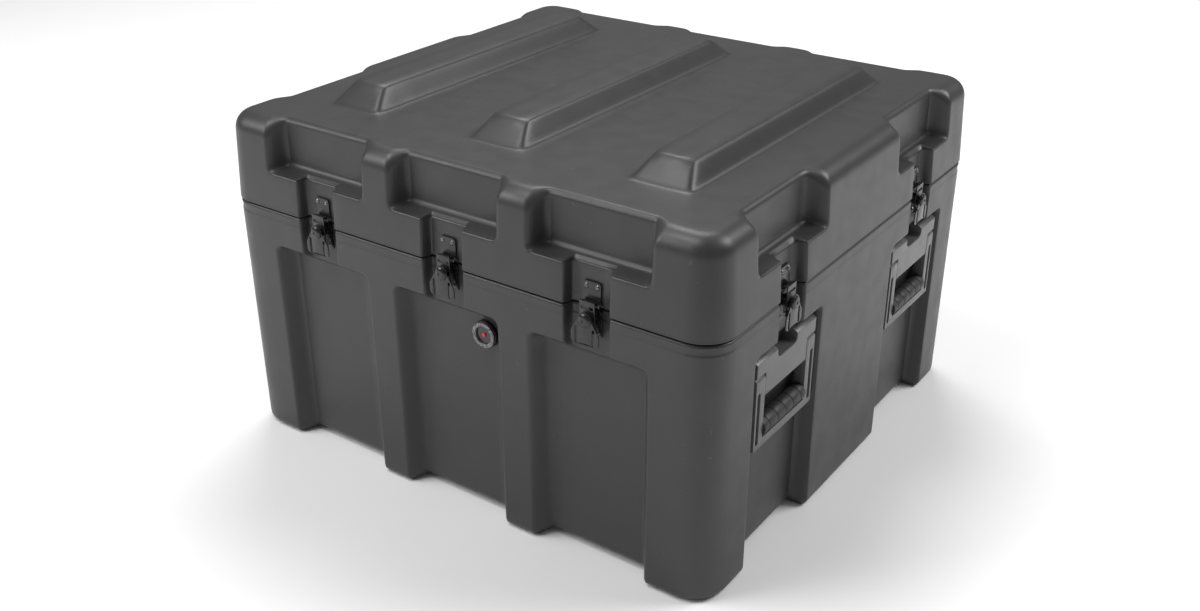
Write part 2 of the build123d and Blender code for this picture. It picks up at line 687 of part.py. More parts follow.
with BuildPart() as valve_spring:
    with BuildLine() as spring_line:
        Helix(
            pitch=VALVE_SPRING_PITCH,
            height=VALVE_SPRING_HEIGHT,
            radius=VALVE_SPRING_RADIUS,
            center=(0, 0, VALVE_SPRING_START),
        )
    with BuildSketch(Plane(origin=spring_line.line @ 0, z_dir=spring_line.line % 0)):
        Circle(SPRING_WIRE_RADIUS)
    sweep(path=spring_line.line)

with BuildPart() as valve_nut:
    with BuildSketch(Plane.XY.offset(-WALL - VALVE_NUT_HEIGHT)):
        RegularPolygon(radius=VALVE_NUT_RADIUS, side_count=6)
        Circle(VALVE_STEM_RADIUS, mode=Mode.SUBTRACT)
    extrude(amount=VALVE_NUT_HEIGHT)

# ---- Where the repeated pieces go ----
LATCH_FRAMES = {}
for side, along, number, run in BAYS:
    LATCH_FRAMES[f"{side}_{number}"] = wall_plane(side, along, SPINDLE_HEIGHT, GROOVE_DEPTH)
HANDLE_FRAMES = {}
for side, along, number, run in BAYS:
    if side in ("left", "right"):
        top = BASE_HEIGHT - HANDLE_DROP
        HANDLE_FRAMES[f"{side}_{number}"] = wall_plane(side, along, top, BAY_DEPTH)
VALVE_FRAME = wall_plane("front", VALVE_OFFSET, BASE_HEIGHT - VALVE_DROP, BAY_DEPTH)


def drill(frames, spots, radius, depth):
    """Cut round holes through the wall at spots given in each frame."""
    for frame in frames:
        with Locations(frame.location):
            with Locations(*[(x, y, -depth / 2) for x, y in spots]):
                Cylinder(radius, depth + 2, mode=Mode.SUBTRACT)


# ---- Base: walls, rim, tongue and the holes for its fittings ----
with BuildPart() as base_shell:
    add(base_form(0))
    add(base_form(WALL), mode=Mode.SUBTRACT)
    add(rim_ring(RIM_INSET, BASE_HEIGHT - RIM_THICKNESS, BASE_HEIGHT))
    add(seal_track(TONGUE_WIDTH, BASE_HEIGHT, BASE_HEIGHT + TONGUE_HEIGHT))
    drill(LATCH_FRAMES.values(), RIVET_SPOTS, RIVET_RADIUS, WALL)
    drill(HANDLE_FRAMES.values(), BRACKET_SCREWS, RIVET_RADIUS, WALL)
    drill([VALVE_FRAME], [(0, 0)], VALVE_STEM_RADIUS, WALL)
save(base_shell.part, "base_shell")


def rib_form(grow):
    """One raised stacking rib, sloping on all four sides."""
    low = BASE_HEIGHT + LID_HEIGHT - grow - 1
    with BuildPart() as rib:
        with BuildSketch(Plane.XY.offset(low)):
            Rectangle(RIB_WIDTH - 2 * grow, RIB_LENGTH - 2 * grow)
        with BuildSketch(Plane.XY.offset(TOTAL_HEIGHT - grow)):
            Rectangle(RIB_TOP_WIDTH - 2 * grow, RIB_LENGTH - 2 * RIB_END_RUN - 2 * grow)
        loft()
        if not grow:
            fillet(rib.edges().group_by(Axis.Z)[-1], RIB_EDGE_RADIUS)
    return rib.part


def lid_form(grow):
    """The lid as one solid: drafted outline less pockets and grooves, with its ribs on top."""
    floor = BASE_HEIGHT + BAND_HEIGHT - grow
    with BuildPart() as form:
        with BuildSketch(Plane.XY.offset(BASE_HEIGHT)):
            RectangleRounded(WIDTH - 2 * grow, DEPTH - 2 * grow, CORNER_RADIUS - grow)
        extrude(amount=LID_HEIGHT - grow, taper=LID_DRAFT)
        fillet(form.edges().group_by(Axis.Z)[-1], LID_EDGE_RADIUS - grow)
        for side, along, number, run in BAYS:
            with Locations(upright_frame(side, along)):
                add(
                    bay_cutter(POCKET_DEPTH, POCKET_RUN, grow, floor, TOTAL_HEIGHT),
                    mode=Mode.SUBTRACT,
                )
                with Locations((0, 0, BASE_HEIGHT)):
                    Box(
                        GROOVE_WIDTH + 2 * grow,
                        2 * (GROOVE_DEPTH + grow),
                        2 * BAND_HEIGHT + 2,
                        mode=Mode.SUBTRACT,
                    )
        with Locations((-RIB_PITCH, 0), (0, 0), (RIB_PITCH, 0)):
            add(rib_form(grow))
    return form.part


# ---- Lid: walls, rim and the channel for the seal ----
with BuildPart() as lid_shell:
    add(lid_form(0))
    add(lid_form(WALL), mode=Mode.SUBTRACT)
    add(rim_ring(RIM_INSET, BASE_HEIGHT, BASE_HEIGHT + RIM_THICKNESS))
    add(seal_track(SEAL_WIDTH, BASE_HEIGHT, BASE_HEIGHT + SEAL_DEPTH), mode=Mode.SUBTRACT)
    drill(LATCH_FRAMES.values(), KEEPER_RIVET_SPOTS, RIVET_RADIUS, WALL)
save(lid_shell.part, "lid_shell")
save(seal_track(SEAL_WIDTH, BASE_HEIGHT + TONGUE_HEIGHT + FIT_GAP, BASE_HEIGHT + SEAL_DEPTH), "lid_seal")

# ---- Pieces fixed to the base or the lid, one group of separate solids each ----
FIXED_GROUPS = (
    ("latch_plates", latch_plate, LATCH_FRAMES, ((0, 0, 0),)),
    ("latch_rivets", rivet, LATCH_FRAMES, [(x, y, 0) for x, y in RIVET_SPOTS]),
    ("keeper_plates", keeper, LATCH_FRAMES, ((0, 0, 0),)),
    ("keeper_rivets", rivet, LATCH_FRAMES, [(x, y, 0) for x, y in KEEPER_RIVET_SPOTS]),
    ("handle_pins", handle_pins, HANDLE_FRAMES, ((0, 0, 0),)),
    ("handle_springs", handle_springs, HANDLE_FRAMES, ((0, 0, 0),)),
    ("handle_back_plates", handle_back_plate, HANDLE_FRAMES, ((0, 0, 0),)),
    ("handle_screws", handle_screws, HANDLE_FRAMES, ((0, 0, 0),)),
)
for name, piece, frames, spots in FIXED_GROUPS:
    with BuildPart() as group:
        for frame in frames.values():
            with Locations(frame.location):
                with Locations(*spots):
                    add(piece.part)
    save(group.part, name)

# ---- Pieces of each latch and each handle that have a node of their own ----
SINGLE_PIECES = (
    ("latch_link", link, LATCH_FRAMES),
    ("latch_spindle", spindle, LATCH_FRAMES),
    ("latch_wing", wing, LATCH_FRAMES),
    ("handle_bracket", handle_bracket, HANDLE_FRAMES),
    ("handle_bail", handle_bail, HANDLE_FRAMES),
    ("handle_grip", handle_grip, HANDLE_FRAMES),
)
for name, piece, frames in SINGLE_PIECES:
    for place, frame in frames.items():
        with BuildPart() as single:
            with Locations(frame.location):
                add(piece.part)
        save(single.part, f"{name}_{place}")

# ---- The valve ----
VALVE_PIECES = (
    ("valve_seal", valve_seal),
    ("valve_body", valve_body),
    ("valve_bezel", valve_bezel),
    ("valve_disc", valve_disc),
    ("valve_dot", valve_dot),
    ("valve_spring", valve_spring),
    ("valve_nut", valve_nut),
)
for name, piece in VALVE_PIECES:
    with BuildPart() as single:
        with Locations(VALVE_FRAME.location):
            add(piece.part)
    save(single.part, name)
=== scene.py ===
import math

import bmesh
import bpy
import numpy as np
from mathutils import Matrix, Vector


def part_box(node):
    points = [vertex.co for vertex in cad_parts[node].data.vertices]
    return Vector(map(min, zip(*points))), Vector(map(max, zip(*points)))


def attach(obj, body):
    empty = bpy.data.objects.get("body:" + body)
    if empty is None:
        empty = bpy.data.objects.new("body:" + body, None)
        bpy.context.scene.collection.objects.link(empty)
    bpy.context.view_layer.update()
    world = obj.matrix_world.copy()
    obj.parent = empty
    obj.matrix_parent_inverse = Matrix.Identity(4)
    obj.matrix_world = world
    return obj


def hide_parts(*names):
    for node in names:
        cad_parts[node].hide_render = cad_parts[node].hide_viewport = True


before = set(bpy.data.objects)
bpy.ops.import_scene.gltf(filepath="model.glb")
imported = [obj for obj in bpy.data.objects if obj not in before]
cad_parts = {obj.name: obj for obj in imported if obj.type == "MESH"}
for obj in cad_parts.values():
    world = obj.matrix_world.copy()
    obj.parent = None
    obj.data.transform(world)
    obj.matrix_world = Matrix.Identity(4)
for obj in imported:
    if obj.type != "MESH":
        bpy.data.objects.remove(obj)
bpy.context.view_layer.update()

# ---- Base moulding ----
# The tub of the case: one hollow rotational moulding in charcoal polyethylene, about 6 mm thick.
# Powder melts onto the inside of a turning steel mould, so every edge comes out soft, and the
# walls are stiffened by bays that are set back between upright posts, which end in feet.
MM = 0.001
WIDTH, DEPTH, PARTING = 850 * MM, 800 * MM, 388 * MM
CORNER = 48 * MM
WALL = 6 * MM
BAND = 56 * MM
BAY_HALF, BAY_INSET, BAY_CORNER = 93 * MM, 25 * MM, 13 * MM
BAY_EDGE_ROUND = 0.32
GROOVE_HALF, GROOVE_INSET = 34 * MM, 16 * MM
FOOT, FOOT_LENGTH = 8 * MM, 85 * MM
RIM_INNER, RIM_THICK = 42 * MM, 8 * MM
WALLS = {
    "front": ((-236 * MM, 0.0, 236 * MM), 16 * MM),
    "right": ((-207 * MM, 207 * MM), 8 * MM),
}
WALLS["back"], WALLS["left"] = WALLS["front"], WALLS["right"]
RIBS_ACROSS = (-264 * MM, 0.0, 264 * MM)
RIB_HALF, RIB_RUN = 48 * MM, 17 * MM
RIB_REACH, RIB_END_RUN = 282 * MM, 36 * MM


def ramp(u, round_off):
    """A straight ramp from 0 to 1 whose two corners are rounded over that share of its run."""
    area = lambda v: np.where(v < 0, 0, np.where(v < 1, v * v / 2, v - 0.5))
    return (area(u + round_off / 2) - area(u - round_off / 2)) / round_off


def stations(half, edges, coarse=20 * MM):
    """Places along one straight stretch: close together over each edge, sparse in between.
    An edge is its place, how far it reaches to either side and the spacing over it."""
    places = {-half, half}
    for edge, reach, spacing in edges:
        count = int(round(2 * reach / spacing))
        places.update(edge - reach + 2 * reach * k / count for k in range(count + 1))
    kept = []
    for place in sorted(p for p in places if -half <= p <= half):
        if not kept or place - kept[-1] > 0.5 * MM:
            kept.append(place)
    kept[-1] = half
    filled = [kept[0]]
    for place in kept[1:]:
        gap = place - filled[-1]
        parts = max(1, int(math.ceil(gap / coarse)))
        filled += [filled[-1] + gap * (k + 1) / parts for k in range(parts)]
    return (np.array(filled) - np.array(filled[::-1])) / 2


BOTH = (-1, 1)
front_edges = [(c + s * (BAY_HALF - 4 * MM), 13 * MM, 2.6 * MM) for c in WALLS["front"][0] for s in BOTH]
front_edges += [(c + s * GROOVE_HALF, 3.6 * MM, 1.2 * MM) for c in WALLS["front"][0] for s in BOTH]
front_edges += [(c + s * (RIB_HALF - RIB_RUN / 2), 11 * MM, 2.75 * MM) for c in RIBS_ACROSS for s in BOTH]
side_edges = [(c + s * BAY_HALF, 13 * MM, 2.6 * MM) for c in WALLS["right"][0] for s in BOTH]
side_edges += [(c + s * GROOVE_HALF, 3.6 * MM, 1.2 * MM) for c in WALLS["right"][0] for s in BOTH]
side_edges += [(s * (RIB_REACH - RIB_END_RUN / 2), 21 * MM, 3.0 * MM) for s in BOTH]
along_x = stations(WIDTH / 2 - CORNER, front_edges)
along_y = stations(DEPTH / 2 - CORNER, side_edges)

# The outline as a list of stations: centre that insets shrink towards, outward direction, wall, place.
CORNER_STEPS = 14
outline = []
half_x, half_y = WIDTH / 2 - CORNER, DEPTH / 2 - CORNER
for wall, places, spot, out in (
    ("front", along_x, lambda a: (a, -half_y), (0, -1)),
    ("right", along_y, lambda a: (half_x, a), (1, 0)),
    ("back", along_x[::-1], lambda a: (a, half_y), (0, 1)),
    ("left", along_y[::-1], lambda a: (-half_x, a), (-1, 0)),
):
    for a in places:
        outline.append((spot(a), out, wall, a))
    start = math.atan2(out[1], out[0])
    for k in range(1, CORNER_STEPS):
        turn = start + math.pi / 2 * k / CORNER_STEPS
        outline.append((spot(places[-1]), (math.cos(turn), math.sin(turn)), "corner", 0.0))
centres = np.array([o[0] for o in outline])
outward = np.array([o[1] for o in outline])


def bay_depth(z, grow=0.0):
    """How far each station is set back by its bay at height z, from 0 to 1."""
    share = np.zeros(len(outline))
    for i, (_, _, wall, a) in enumerate(outline):
        if wall == "corner":
            continue
        bays, run = WALLS[wall]
        aside = min(abs(a - c) for c in bays) - (BAY_HALF + grow) + BAY_CORNER
        above = z - (PARTING - BAND + grow) + BAY_CORNER
        outside = math.hypot(max(aside, 0), max(above, 0)) + min(max(aside, above), 0) - BAY_CORNER
        share[i] = -outside / run
    return ramp(share, BAY_EDGE_ROUND)


def groove_depth(grow=0.0):
    """How far each station is set back by its latch groove, from 0 to 1."""
    share = np.zeros(len(outline)) - 1
    for i, (_, _, wall, a) in enumerate(outline):
        if wall != "corner":
            nearest = min(abs(a - c) for c in WALLS[wall][0])
            share[i] = (GROOVE_HALF + grow + 1 * MM - nearest) / (3 * MM)
    return ramp(share, 1.3)


def skin(name, rows, caps):
    """A closed skin: rings of (inset, height) at every station, ended by a grid at each end.
    A ring at an inset of CORNER has square corners, so it meets the grid of its cap."""
    verts, faces = [], []
    count = len(outline)
    for inset, height in rows:
        inset = np.broadcast_to(inset, count)
        height = np.broadcast_to(height, count)
        at = centres + outward * (CORNER - inset)[:, None]
        verts += [(at[i, 0], at[i, 1], height[i]) for i in range(count)]
    for j in range(len(rows) - 1):
        for i in range(count):
            k = (i + 1) % count
            faces.append((j * count + i, j * count + k, (j + 1) * count + k, (j + 1) * count + i))
    for height in caps:
        first = len(verts)
        for y in along_y:
            verts += [(x, y, z) for x, z in zip(along_x, height(along_x, y))]
        wide = len(along_x)
        for q in range(len(along_y) - 1):
            for p in range(wide - 1):
                corner = first + q * wide + p
                faces.append((corner, corner + 1, corner + wide + 1, corner + wide))
    mesh = bpy.data.meshes.new(name)
    mesh.from_pydata(verts, [], faces)
    shape = bmesh.new()
    shape.from_mesh(mesh)
    bmesh.ops.remove_doubles(shape, verts=shape.verts, dist=0.02 * MM)
    bmesh.ops.recalc_face_normals(shape, faces=shape.faces)
    shape.to_mesh(mesh)
    shape.free()
    mesh.shade_smooth()
    mesh.set_sharp_from_angle(angle=math.radians(55))
    piece = bpy.data.objects.new(name, mesh)
    bpy.context.scene.collection.objects.link(piece)
    return piece


def foot_share(x, y):
    """1 on the feet and 0 on the floor panel between them."""
    slope, foot_end_round = 8 * MM, 0.8
    across = (FOOT_LENGTH - (DEPTH / 2 - abs(y))) / slope
    front = np.ones(len(x))
    for i, a in enumerate(x):
        aside = BAY_HALF - min(abs(a - c) for c in WALLS["front"][0])
        front[i] = 1 - ramp(aside / WALLS["front"][1], BAY_EDGE_ROUND)
    beside = (FOOT_LENGTH - (WIDTH / 2 - np.abs(x))) / slope
    aside = BAY_HALF - min(abs(y - c) for c in WALLS["right"][0])
    side = 1 - ramp(aside / WALLS["right"][1], BAY_EDGE_ROUND)
    return np.maximum(front * ramp(across, foot_end_round), side * ramp(beside, foot_end_round))


def base_rows():
    """The rings of the base, from under its feet, up the outside, over the rim and down inside."""
    foot_round, panel_round = 13 * MM, 9 * MM
    low = bay_depth(30 * MM)
    bottom = FOOT * low
    radius = foot_round + (panel_round - foot_round) * low
    side = BAY_INSET * low
    rows = [(CORNER, bottom), ((CORNER + side + radius) / 2, bottom)]
    for k in range(9):
        turn = math.pi / 2 * (1 - k / 8)
        rows.append((side + radius * (1 - math.cos(turn)), bottom + radius * (1 - math.sin(turn))))
    groove = groove_depth() * GROOVE_INSET
    heights = list(np.linspace(40 * MM, PARTING - BAND - 40 * MM, 6))
    heights += list(np.arange(PARTING - BAND - 34 * MM, PARTING - BAND + 7 * MM, 2 * MM))
    heights += list(np.linspace(PARTING - BAND + 14 * MM, PARTING - 20 * MM, 4))
    heights += [PARTING - h * MM for h in (17.2, 16.6, 16.0, 15.4, 12, 8, 6.6)]
    step_at, step, rim_round, rabbet = PARTING - 16.3 * MM, 0.8 * MM, 4.0 * MM, 1.8 * MM
    flat = np.array([0.0 if wall == "corner" else 1.0 for _, _, wall, _ in outline])
    flat_recess = 0.5 * MM
    for z in heights:
        recess = np.maximum(BAY_INSET * bay_depth(z), groove * (z > PARTING - BAND - 12 * MM))
        above = ramp(np.array((z - step_at) / (1.6 * MM) + 0.5), 1.0)
        rows.append((np.maximum(recess, flat_recess * flat) * (1 - above) + above * (recess + step), z))
    for k in range(6):
        turn = math.pi / 2 * k / 5
        rows.append(
            (
                groove + step + rim_round * (1 - math.cos(turn)),
                PARTING - rim_round * (1 - math.sin(turn)) - rabbet,
            )
        )
    tongue = (29 * MM, 33 * MM)
    top = PARTING - 0.2 * MM
    rows += [(groove + step + 7 * MM, PARTING - rabbet), (groove + step + 8 * MM, top)]
    rows += [(tongue[0] - 0.5 * MM, top), (tongue[0], top + 0.5 * MM), (tongue[0], top + 2.6 * MM)]
    rows += [(tongue[0] + 0.7 * MM, top + 3.1 * MM), (tongue[1] - 0.7 * MM, top + 3.1 * MM)]
    rows += [(tongue[1], top + 2.6 * MM), (tongue[1], top + 0.5 * MM), (tongue[1] + 0.5 * MM, top)]
    rows += [(RIM_INNER - 1.5 * MM, top), (RIM_INNER, top - 1.5 * MM)]
    rows += [(RIM_INNER, PARTING - RIM_THICK + 1 * MM), (RIM_INNER - 1 * MM, PARTING - RIM_THICK)]
    grown = groove_depth(WALL) * (GROOVE_INSET + WALL)
    inside = [PARTING - RIM_THICK - 1 * MM]
    inside += list(np.linspace(PARTING - 20 * MM, PARTING - BAND + 16 * MM, 3))
    inside += list(np.arange(PARTING - BAND + 12 * MM, PARTING - BAND - 26 * MM, -4 * MM))
    inside += list(np.linspace(PARTING - BAND - 32 * MM, 40 * MM, 5))
    for z in inside:
        recess = WALL + BAY_INSET * bay_depth(z, WALL)
        rows.append((np.maximum(recess, grown * (z > PARTING - BAND - 12 * MM)), z))
    floor, floor_round = FOOT + WALL, 10 * MM
    side = WALL + BAY_INSET * bay_depth(30 * MM, WALL)
    for k in range(7):
        turn = math.pi / 2 * k / 6
        rows.append(
            (
                side + floor_round * (1 - math.cos(turn)),
                floor + floor_round * (1 - math.sin(turn)),
            )
        )
    rows.append((CORNER, floor))
    return rows


base_moulding = skin(
    "base_moulding",
    base_rows(),
    (
        lambda x, y: FOOT * (1 - foot_share(x, y)),
        lambda x, y: np.full(len(x), FOOT + WALL),
    ),
)

# The hole for the relief valve is drilled through the front wall after moulding, a little over the
# 11 mm radius of the valve's threaded stem.
VALVE_HOLE = 11.2 * MM
valve_low, valve_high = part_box("valve_seal")
shape = bmesh.new()
bmesh.ops.create_cone(
    shape, cap_ends=True, segments=64, radius1=VALVE_HOLE, radius2=VALVE_HOLE, depth=40 * MM
)
bmesh.ops.rotate(shape, verts=shape.verts, matrix=Matrix.Rotation(math.pi / 2, 3, "X"))
valve_axis = ((valve_low[0] + valve_high[0]) / 2, valve_high[1], (valve_low[2] + valve_high[2]) / 2)
bmesh.ops.translate(shape, verts=shape.verts, vec=valve_axis)
drill_mesh = bpy.data.meshes.new("valve_drill")
shape.to_mesh(drill_mesh)
shape.free()
drill = bpy.data.objects.new("valve_drill", drill_mesh)
bpy.context.scene.collection.objects.link(drill)
cut = base_moulding.modifiers.new("valve_hole", "BOOLEAN")
cut.object = drill
cut.operation = "DIFFERENCE"
cut.solver = "EXACT"
graph = bpy.context.evaluated_depsgraph_get()
drilled = bpy.data.meshes.new_from_object(base_moulding.evaluated_get(graph))
base_moulding.modifiers.clear()
base_moulding.data = drilled
drilled.set_sharp_from_angle(angle=math.radians(55))
bpy.data.objects.remove(drill)


def linear(code):
    """A linear colour from an sRGB hex code."""
    parts = [int(code[i : i + 2], 16) / 255 for i in (1, 3, 5)]
    return [c / 12.92 if c <= 0.04045 else ((c + 0.055) / 1.055) ** 2.4 for c in parts] + [1.0]


def feed(tree, made, sockets):
    """Gives each named socket of a node a value, or a link from another node's socket."""
    for key, value in sockets.items():
        if isinstance(value, bpy.types.NodeSocket):
            tree.links.new(value, made.inputs[key])
        else:
            made.inputs[key].default_value = value


def node(tree, kind, sockets, **settings):
    """Adds a node with its settings and feeds its sockets."""
    made = tree.nodes.new("ShaderNode" + kind)
    for key, value in settings.items():
        setattr(made, key, value)
    feed(tree, made, sockets)
    return made


def new_finish(name):
    """An empty material: its tree, shader and object coordinates in metres."""
    finish = bpy.data.materials.new(name)
    finish.use_nodes = True
    tree = finish.node_tree
    shader = tree.nodes["Principled BSDF"]
    place = node(tree, "TexCoord", {}).outputs["Object"]
    return finish, tree, shader, place


# The two colour inputs and the colour output of a Mix node set to mix colours.
FIRST, SECOND, MIXED = 6, 7, 2

# Charcoal polyethylene, as moulded: an even pebble of the mould's blasted face about 1.6 mm
# across, a slow cloudiness where the powder melted thicker, and edges rubbed a little paler.
polyethylene, tree, shader, place = new_finish("moulded_polyethylene_charcoal")
pebble = node(tree, "TexNoise", {"Vector": place, "Scale": 1 / 0.0016, "Detail": 3.0, "Roughness": 0.6})
grain = node(tree, "TexNoise", {"Vector": place, "Scale": 1 / 0.0006, "Detail": 2.0})
cloud = node(tree, "TexNoise", {"Vector": place, "Scale": 1 / 0.12, "Detail": 4.0, "Roughness": 0.55})
flow = node(tree, "TexNoise", {"Vector": place, "Scale": 1 / 0.035, "Detail": 2.0})
dust = node(tree, "TexNoise", {"Vector": place, "Scale": 1 / 0.009, "Detail": 1.0})
edge = node(tree, "NewGeometry", {}).outputs["Pointiness"]
tone = node(
    tree,
    "Mix",
    {0: cloud.outputs["Fac"], FIRST: linear("#303031"), SECOND: linear("#353536")},
    data_type="RGBA",
)
rubbed = node(tree, "MapRange", {"Value": edge, "From Min": 0.53, "From Max": 0.62, "To Max": 0.35})
worn = node(
    tree,
    "Mix",
    {0: rubbed.outputs[0], FIRST: tone.outputs[MIXED], SECOND: linear("#4c4c4d")},
    data_type="RGBA",
)
speck = node(
    tree,
    "MapRange",
    {"Value": dust.outputs["Fac"], "From Min": 0.76, "From Max": 0.80, "To Min": 0.0, "To Max": 0.25},
)
specked = node(
    tree,
    "Mix",
    {0: speck.outputs[0], FIRST: worn.outputs[MIXED], SECOND: linear("#5c5c5c")},
    data_type="RGBA",
)
mottle = node(
    tree,
    "MapRange",
    {"Value": pebble.outputs["Fac"], "From Min": 0.35, "From Max": 0.65, "To Min": 0.92, "To Max": 1.08},
)
coloured = node(
    tree, "VectorMath", {0: specked.outputs[MIXED], "Scale": mottle.outputs[0]}, operation="SCALE"
)
gloss = node(
    tree,
    "MapRange",
    {"Value": flow.outputs["Fac"], "From Min": 0.3, "From Max": 0.7, "To Min": 0.37, "To Max": 0.44},
)
fine = node(tree, "Bump", {"Height": pebble.outputs["Fac"], "Strength": 0.55, "Distance": 0.00018})
finest = node(
    tree,
    "Bump",
    {"Height": grain.outputs["Fac"], "Normal": fine.outputs[0], "Strength": 0.25, "Distance": 0.00005},
)
wavy = node(
    tree,
    "Bump",
    {"Height": flow.outputs["Fac"], "Normal": finest.outputs[0], "Strength": 0.05, "Distance": 0.0006},
)
feed(
    tree,
    shader,
    {
        "Base Color": coloured.outputs[0],
        "Roughness": gloss.outputs[0],
        "Normal": wavy.outputs[0],
        "IOR": 1.51,
    },
)
base_moulding.data.materials.append(polyethylene)
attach(base_moulding, "base")
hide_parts("base_shell")

# ---- Lid moulding ----
# The lift-off lid, moulded the same way and in the same plastic. It has pockets above the latches
# that are open at the top, a channel for the seal in its rim, and three ribs that let loads stack.
LID_HEIGHT = 133 * MM
LID_TOP = PARTING + LID_HEIGHT
DRAFT = math.tan(math.radians(3))
POCKET_INSET, POCKET_RUN = 34 * MM, 11 * MM
SHOULDER, LIP = 28 * MM, 9 * MM
RIB_HEIGHT = 30 * MM


def pocket_share(grow=0.0, flare=0.0):
    """How far each station belongs to a pocket, from 0 on the posts to 1. A flare widens its mouth."""
    share = np.zeros(len(outline)) - 1
    for i, (_, _, wall, a) in enumerate(outline):
        if wall != "corner":
            nearest = min(abs(a - c) for c in WALLS[wall][0])
            share[i] = (BAY_HALF + grow + flare - nearest) / (POCKET_RUN + flare)
    return ramp(share, 0.6)


def rib_height(x, y, grow=0.0):
    """Height of the stacking ribs above the flat of the lid along a row of places."""
    aside = RIB_HALF - grow - np.min([np.abs(x - c) for c in RIBS_ACROSS], axis=0)
    ahead = RIB_REACH - grow - abs(y)
    slope, end = aside / RIB_RUN, ahead / RIB_END_RUN
    hip = 0.30
    lower = (slope + end - np.sqrt((slope - end) ** 2 + hip**2)) / 2
    return RIB_HEIGHT * ramp(lower, 0.26)


def lid_rows():
    """The rings of the lid, from the top plane down the outside, under the rim and up inside."""
    pocket = pocket_share()
    groove = groove_depth() * GROOVE_INSET
    mix = lambda post, deep, share=pocket: post + (deep - post) * share
    rows = [(CORNER, LID_TOP)]
    flare = 9 * MM
    post_top, pocket_top = DRAFT * (LID_HEIGHT - SHOULDER), POCKET_INSET
    for k in range(13):
        turn = math.pi / 2 * (1 - k / 12)
        back, down = 1 - math.cos(turn), 1 - math.sin(turn)
        mouth = pocket_share(0.0, flare * math.sin(turn) ** 2)
        rows.append(
            (
                mix(post_top + SHOULDER * back, pocket_top + LIP * back, mouth),
                mix(LID_TOP - SHOULDER * down, LID_TOP - LIP * down, mouth),
            )
        )
    ledge, ledge_round, face_round = BAND + 1 * MM, 9 * MM, 4 * MM
    for k in range(1, 6):
        z_post = LID_HEIGHT - SHOULDER - k / 5 * (LID_HEIGHT - SHOULDER - BAND - 20 * MM)
        z_deep = LID_HEIGHT - LIP - k / 5 * (LID_HEIGHT - LIP - ledge - ledge_round - 4 * MM)
        rows.append((mix(DRAFT * z_post, POCKET_INSET), PARTING + mix(z_post, z_deep)))
    for k in range(1, 8):
        turn = math.pi / 2 * k / 7
        z_post = BAND + 20 * MM - 10 * MM * k / 7
        deep = POCKET_INSET - ledge_round * (1 - math.cos(turn))
        z_deep = ledge + 4 * MM + ledge_round * (1 - math.sin(turn))
        rows.append((mix(DRAFT * z_post, deep), PARTING + mix(z_post, z_deep)))
    flat_from, flat_to = POCKET_INSET - ledge_round, face_round
    for k in range(1, 5):
        z_post = BAND + 10 * MM - 8 * MM * k / 4
        start = np.maximum(flat_to, groove + face_round)
        deep = flat_from + (start - flat_from) * k / 4
        rows.append((mix(DRAFT * z_post, deep), PARTING + mix(z_post, ledge + 4 * MM * (1 - k / 4))))
    for k in range(1, 6):
        turn = math.pi / 2 * (1 - k / 5)
        z_post = BAND + 2 * MM - 5 * MM * k / 5
        deep = groove + DRAFT * z_post + face_round * (1 - math.cos(turn))
        z_deep = ledge - face_round * (1 - math.sin(turn))
        rows.append((mix(groove + DRAFT * z_post, deep), PARTING + mix(z_post, z_deep)))
    for h in (45, 32, 20, 10, 5, 2.8):
        rows.append((groove + DRAFT * h * MM, PARTING + h * MM))
    edge_round = 2.0 * MM
    for k in range(5):
        turn = math.pi / 2 * k / 4
        rows.append(
            (
                groove + edge_round * (1 - math.cos(turn)),
                PARTING + edge_round * (1 - math.sin(turn)) + 0.3 * MM,
            )
        )
    under = PARTING + 0.3 * MM
    channel, roof = (27.5 * MM, 34.5 * MM), PARTING + 5 * MM
    rows += [(channel[0] - 0.5 * MM, under), (channel[0], under + 0.5 * MM), (channel[0], roof)]
    rows += [(channel[1], roof), (channel[1], under + 0.5 * MM), (channel[1] + 0.5 * MM, under)]
    rows += [(RIM_INNER - 1.5 * MM, under), (RIM_INNER, under + 1.5 * MM)]
    rows += [(RIM_INNER, PARTING + RIM_THICK - 1 * MM), (RIM_INNER - 1 * MM, PARTING + RIM_THICK)]
    grown = groove_depth(WALL) * (GROOVE_INSET + WALL)
    wide = pocket_share(WALL)
    inner = lambda post, deep: post + (deep - post) * wide
    for h in (9, 25, 40, 48):
        rows.append((np.maximum(WALL + DRAFT * h * MM, grown), PARTING + h * MM))
    for k in range(1, 4):
        post, z_post = WALL + DRAFT * 50 * MM, 48 * MM + 10 * MM * k / 3
        deep = WALL + (POCKET_INSET) * k / 3
        rows.append((inner(post, np.maximum(deep, grown)), PARTING + inner(z_post, BAND - WALL + k * MM)))
    for k in range(1, 4):
        z = 58 * MM + (LID_HEIGHT - SHOULDER - 58 * MM) * k / 3
        rows.append((inner(WALL + DRAFT * z, WALL + POCKET_INSET), PARTING + z))
    for k in range(7):
        turn = math.pi / 2 * k / 6
        back, up = 1 - math.cos(turn), math.sin(turn)
        post = WALL + post_top + (SHOULDER - WALL) * back
        z_post = LID_HEIGHT - SHOULDER + (SHOULDER - WALL) * up
        deep = WALL + POCKET_INSET + 4 * MM * back
        z_deep = LID_HEIGHT - WALL - 4 * MM * (1 - up)
        rows.append((inner(post, deep), PARTING + inner(z_post, z_deep)))
    rows.append((CORNER, LID_TOP - WALL))
    return rows


lid_moulding = skin(
    "lid_moulding",
    lid_rows(),
    (
        lambda x, y: LID_TOP + rib_height(x, y),
        lambda x, y: LID_TOP - WALL + rib_height(x, y, WALL),
    ),
)
lid_moulding.data.materials.append(polyethylene)
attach(lid_moulding, "lid")
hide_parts("lid_shell")

